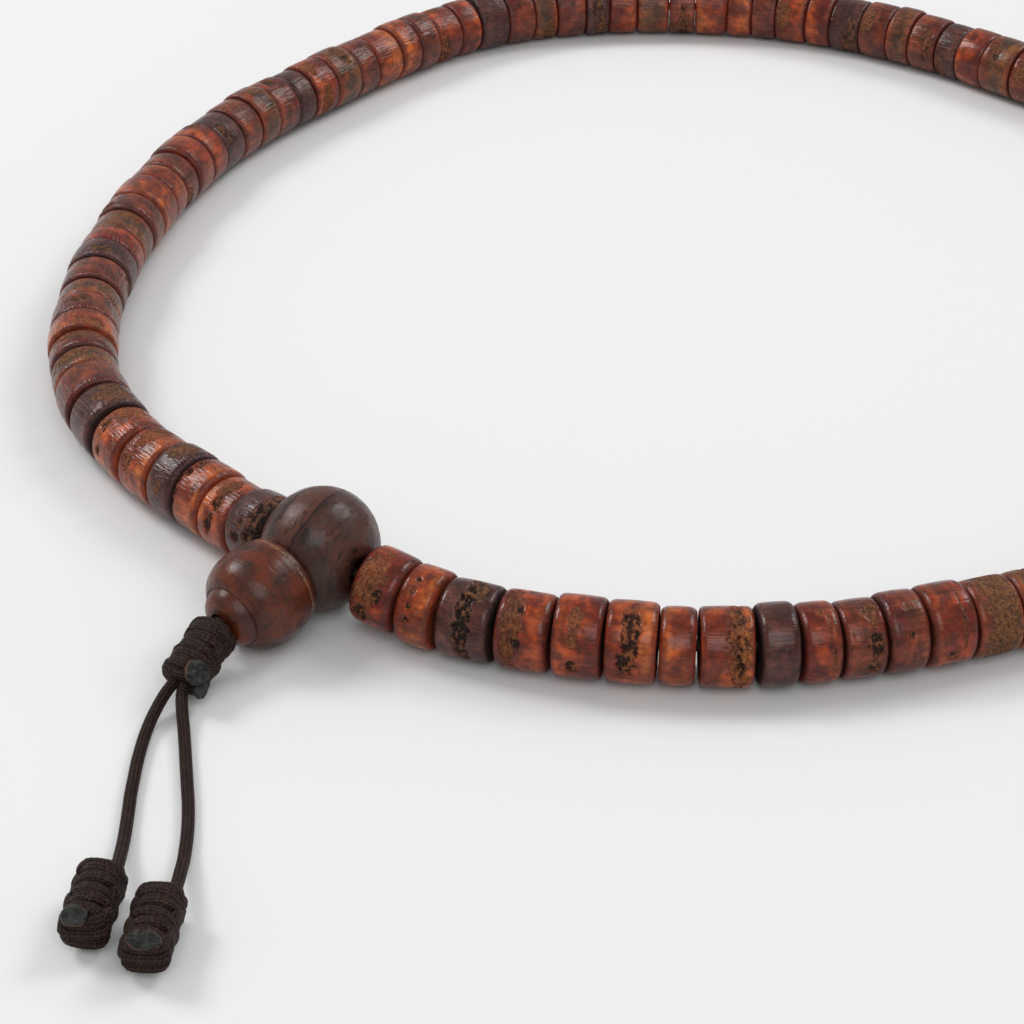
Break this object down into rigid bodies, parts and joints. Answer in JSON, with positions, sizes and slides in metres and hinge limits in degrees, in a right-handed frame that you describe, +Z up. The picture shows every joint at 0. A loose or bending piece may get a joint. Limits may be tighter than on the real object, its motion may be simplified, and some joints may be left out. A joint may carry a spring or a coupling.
{
  "type": "prayer beads",
  "caption": "Loop of turned bone disc beads on a cord, closed by a round guru bead with a tower bead, a braided knot and knotted tail cords.",
  "frame": {"origin": "middle of the loop's bounding box, on the flat surface that the beads rest on", "axes": "+Z up; +X to the right and +Y to the far side of the loop, with the guru bead at the front left and the tails running towards -Y"},
  "size_m": [0.2018, 0.2611, 0.0162],
  "materials": {
    "bone_brown": "satin",
    "bone_amber": "satin",
    "bone_dark": "satin",
    "guru_bone": "satin",
    "tower_bone": "satin",
    "cord": "matte",
    "melted_cord": "matte"
  },
  "bodies": {
    "strand": {"stringing_cord": "cord", "bead_run_01": "bone_brown", "bead_run_02": "bone_amber", "bead_run_03": "bone_dark", "bead_run_04": "bone_brown", "bead_run_05": "bone_amber", "bead_run_06": "bone_dark", "bead_run_07": "bone_brown", "bead_run_08": "bone_amber", "bead_run_09": "bone_dark", "bead_run_10": "bone_brown", "bead_run_11": "bone_amber", "bead_run_12": "bone_dark"},
    "guru": {"guru_bead": "guru_bone", "pendant_cord": "cord", "braided_knot": "cord", "knot_tip_upper": "melted_cord", "knot_tip_lower": "melted_cord"},
    "tower": {"tower_bead": "tower_bone"},
    "tail_left": {"tail_cord_left": "cord", "end_knot_left": "cord"},
    "tail_right": {"tail_cord_right": "cord", "end_knot_right": "cord"},
    "bead_001": {"bead_001": "bone_amber"},
    "bead_002": {"bead_002": "bone_dark"},
    "bead_003": {"bead_003": "bone_brown"},
    "bead_004": {"bead_004": "bone_amber"},
    "bead_005": {"bead_005": "bone_dark"},
    "bead_006": {"bead_006": "bone_brown"},
    "bead_007": {"bead_007": "bone_amber"},
    "bead_008": {"bead_008": "bone_dark"},
    "bead_009": {"bead_009": "bone_brown"},
    "bead_010": {"bead_010": "bone_amber"},
    "bead_011": {"bead_011": "bone_dark"},
    "bead_012": {"bead_012": "bone_brown"},
    "bead_013": {"bead_013": "bone_amber"},
    "bead_014": {"bead_014": "bone_dark"},
    "bead_015": {"bead_015": "bone_brown"},
    "bead_087": {"bead_087": "bone_brown"},
    "bead_088": {"bead_088": "bone_amber"},
    "bead_089": {"bead_089": "bone_dark"},
    "bead_090": {"bead_090": "bone_brown"},
    "bead_091": {"bead_091": "bone_amber"},
    "bead_092": {"bead_092": "bone_dark"},
    "bead_093": {"bead_093": "bone_brown"},
    "bead_094": {"bead_094": "bone_amber"},
    "bead_095": {"bead_095": "bone_dark"},
    "bead_096": {"bead_096": "bone_brown"},
    "bead_097": {"bead_097": "bone_amber"},
    "bead_098": {"bead_098": "bone_dark"},
    "bead_099": {"bead_099": "bone_brown"},
    "bead_100": {"bead_100": "bone_amber"},
    "bead_101": {"bead_101": "bone_dark"},
    "bead_102": {"bead_102": "bone_brown"},
    "bead_103": {"bead_103": "bone_amber"},
    "bead_104": {"bead_104": "bone_dark"},
    "bead_105": {"bead_105": "bone_brown"},
    "bead_106": {"bead_106": "bone_amber"},
    "bead_107": {"bead_107": "bone_dark"},
    "bead_108": {"bead_108": "bone_brown"}
  },
  "joints": [
    {"name": "guru_swing", "type": "hinge", "parent": "strand", "child": "guru", "pos_m": [-0.0568, -0.0847, 0.0072], "axis": [-0.7659, 0.6429, 0], "range_deg": [0, 135]},
    {"name": "tower_spin", "type": "hinge", "parent": "guru", "child": "tower", "pos_m": [-0.0568, -0.0847, 0.0081], "axis": [-0.6487, -0.7487, -0.1366], "continuous": true},
    {"name": "tail_left_swing", "type": "hinge", "parent": "guru", "child": "tail_left", "pos_m": [-0.0739, -0.1066, 0.0024], "axis": [0, 0, 1], "range_deg": [-45, 0]},
    {"name": "tail_right_swing", "type": "hinge", "parent": "guru", "child": "tail_right", "pos_m": [-0.072, -0.1072, 0.0023], "axis": [0, 0, 1], "range_deg": [0, 45]},
    {"name": "bead_001_spin", "type": "hinge", "parent": "strand", "child": "bead_001", "pos_m": [-0.04818, -0.09047, 0.00598], "axis": [0.872, -0.4723, -0.1286], "continuous": true},
    {"name": "bead_002_spin", "type": "hinge", "parent": "strand", "child": "bead_002", "pos_m": [-0.0432, -0.09306, 0.00515], "axis": [0.8961, -0.4426, -0.0328], "continuous": true},
    {"name": "bead_003_spin", "type": "hinge", "parent": "strand", "child": "bead_003", "pos_m": [-0.03762, -0.0955, 0.0049], "axis": [0.9337, -0.3581, 0], "continuous": true},
    {"name": "bead_004_spin", "type": "hinge", "parent": "strand", "child": "bead_004", "pos_m": [-0.0309, -0.0977, 0.0049], "axis": [0.9638, -0.2666, 0], "continuous": true},
    {"name": "bead_005_spin", "type": "hinge", "parent": "strand", "child": "bead_005", "pos_m": [-0.02452, -0.09918, 0.00513], "axis": [0.9821, -0.1885, 0], "continuous": true},
    {"name": "bead_006_spin", "type": "hinge", "parent": "strand", "child": "bead_006", "pos_m": [-0.0183, -0.10017, 0.00506], "axis": [0.9918, -0.1274, 0], "continuous": true},
    {"name": "bead_007_spin", "type": "hinge", "parent": "strand", "child": "bead_007", "pos_m": [-0.01284, -0.10076, 0.00486], "axis": [0.9964, -0.0853, 0], "continuous": true},
    {"name": "bead_008_spin", "type": "hinge", "parent": "strand", "child": "bead_008", "pos_m": [-0.00709, -0.10105, 0.00498], "axis": [1, -0.0092, 0], "continuous": true},
    {"name": "bead_009_spin", "type": "hinge", "parent": "strand", "child": "bead_009", "pos_m": [-0.00113, -0.10079, 0.00515], "axis": [0.9955, 0.0945, 0], "continuous": true},
    {"name": "bead_010_spin", "type": "hinge", "parent": "strand", "child": "bead_010", "pos_m": [0.00376, -0.10015, 0.00499], "axis": [0.987, 0.1609, 0], "continuous": true},
    {"name": "bead_011_spin", "type": "hinge", "parent": "strand", "child": "bead_011", "pos_m": [0.0088, -0.0992, 0.00485], "axis": [0.9786, 0.206, 0], "continuous": true},
    {"name": "bead_012_spin", "type": "hinge", "parent": "strand", "child": "bead_012", "pos_m": [0.01396, -0.09802, 0.00505], "axis": [0.97, 0.2431, 0], "continuous": true},
    {"name": "bead_013_spin", "type": "hinge", "parent": "strand", "child": "bead_013", "pos_m": [0.01937, -0.09654, 0.00513], "axis": [0.9588, 0.2841, 0], "continuous": true},
    {"name": "bead_014_spin", "type": "hinge", "parent": "strand", "child": "bead_014", "pos_m": [0.02515, -0.0947, 0.00491], "axis": [0.9477, 0.3192, 0], "continuous": true},
    {"name": "bead_015_spin", "type": "hinge", "parent": "strand", "child": "bead_015", "pos_m": [0.03064, -0.09279, 0.00489], "axis": [0.9418, 0.3362, 0], "continuous": true},
    {"name": "bead_087_spin", "type": "hinge", "parent": "strand", "child": "bead_087", "pos_m": [-0.0875, 0.03133, 0.00512], "axis": [-0.3352, -0.9422, 0], "continuous": true},
    {"name": "bead_088_spin", "type": "hinge", "parent": "strand", "child": "bead_088", "pos_m": [-0.0892, 0.02618, 0.0049], "axis": [-0.2939, -0.9558, 0], "continuous": true},
    {"name": "bead_089_spin", "type": "hinge", "parent": "strand", "child": "bead_089", "pos_m": [-0.09058, 0.02141, 0.0049], "axis": [-0.2602, -0.9656, 0], "continuous": true},
    {"name": "bead_090_spin", "type": "hinge", "parent": "strand", "child": "bead_090", "pos_m": [-0.09194, 0.01597, 0.00513], "axis": [-0.2257, -0.9742, 0], "continuous": true},
    {"name": "bead_091_spin", "type": "hinge", "parent": "strand", "child": "bead_091", "pos_m": [-0.09316, 0.01025, 0.00506], "axis": [-0.1902, -0.9817, 0], "continuous": true},
    {"name": "bead_092_spin", "type": "hinge", "parent": "strand", "child": "bead_092", "pos_m": [-0.09413, 0.00468, 0.00486], "axis": [-0.1524, -0.9883, 0], "continuous": true},
    {"name": "bead_093_spin", "type": "hinge", "parent": "strand", "child": "bead_093", "pos_m": [-0.09486, -0.00077, 0.00497], "axis": [-0.1156, -0.9933, 0], "continuous": true},
    {"name": "bead_094_spin", "type": "hinge", "parent": "strand", "child": "bead_094", "pos_m": [-0.09537, -0.00588, 0.00515], "axis": [-0.0803, -0.9968, 0], "continuous": true},
    {"name": "bead_095_spin", "type": "hinge", "parent": "strand", "child": "bead_095", "pos_m": [-0.09571, -0.01162, 0.00499], "axis": [-0.0364, -0.9993, 0], "continuous": true},
    {"name": "bead_096_spin", "type": "hinge", "parent": "strand", "child": "bead_096", "pos_m": [-0.09577, -0.01718, 0.00485], "axis": [0.0142, -0.9999, 0], "continuous": true},
    {"name": "bead_097_spin", "type": "hinge", "parent": "strand", "child": "bead_097", "pos_m": [-0.09555, -0.02247, 0.00505], "axis": [0.0673, -0.9977, 0], "continuous": true},
    {"name": "bead_098_spin", "type": "hinge", "parent": "strand", "child": "bead_098", "pos_m": [-0.09502, -0.02799, 0.00513], "axis": [0.1271, -0.9919, 0], "continuous": true},
    {"name": "bead_099_spin", "type": "hinge", "parent": "strand", "child": "bead_099", "pos_m": [-0.09421, -0.03302, 0.00492], "axis": [0.1943, -0.9809, 0], "continuous": true},
    {"name": "bead_100_spin", "type": "hinge", "parent": "strand", "child": "bead_100", "pos_m": [-0.09304, -0.0379, 0.00489], "axis": [0.2739, -0.9618, 0], "continuous": true},
    {"name": "bead_101_spin", "type": "hinge", "parent": "strand", "child": "bead_101", "pos_m": [-0.09107, -0.04355, 0.00511], "axis": [0.3896, -0.921, 0], "continuous": true},
    {"name": "bead_102_spin", "type": "hinge", "parent": "strand", "child": "bead_102", "pos_m": [-0.08804, -0.04957, 0.00508], "axis": [0.5005, -0.8657, 0], "continuous": true},
    {"name": "bead_103_spin", "type": "hinge", "parent": "strand", "child": "bead_103", "pos_m": [-0.0843, -0.05539, 0.00487], "axis": [0.5736, -0.8191, 0], "continuous": true},
    {"name": "bead_104_spin", "type": "hinge", "parent": "strand", "child": "bead_104", "pos_m": [-0.08003, -0.06082, 0.00495], "axis": [0.669, -0.7432, 0], "continuous": true},
    {"name": "bead_105_spin", "type": "hinge", "parent": "strand", "child": "bead_105", "pos_m": [-0.07601, -0.06497, 0.00515], "axis": [0.7103, -0.7039, 0], "continuous": true},
    {"name": "bead_106_spin", "type": "hinge", "parent": "strand", "child": "bead_106", "pos_m": [-0.07231, -0.06864, 0.00501], "axis": [0.7041, -0.7101, 0], "continuous": true},
    {"name": "bead_107_spin", "type": "hinge", "parent": "strand", "child": "bead_107", "pos_m": [-0.06841, -0.07275, 0.00485], "axis": [0.6761, -0.7367, 0.0137], "continuous": true},
    {"name": "bead_108_spin", "type": "hinge", "parent": "strand", "child": "bead_108", "pos_m": [-0.0642, -0.07736, 0.00592], "axis": [0.672, -0.7294, 0.1283], "continuous": true}
  ]
}
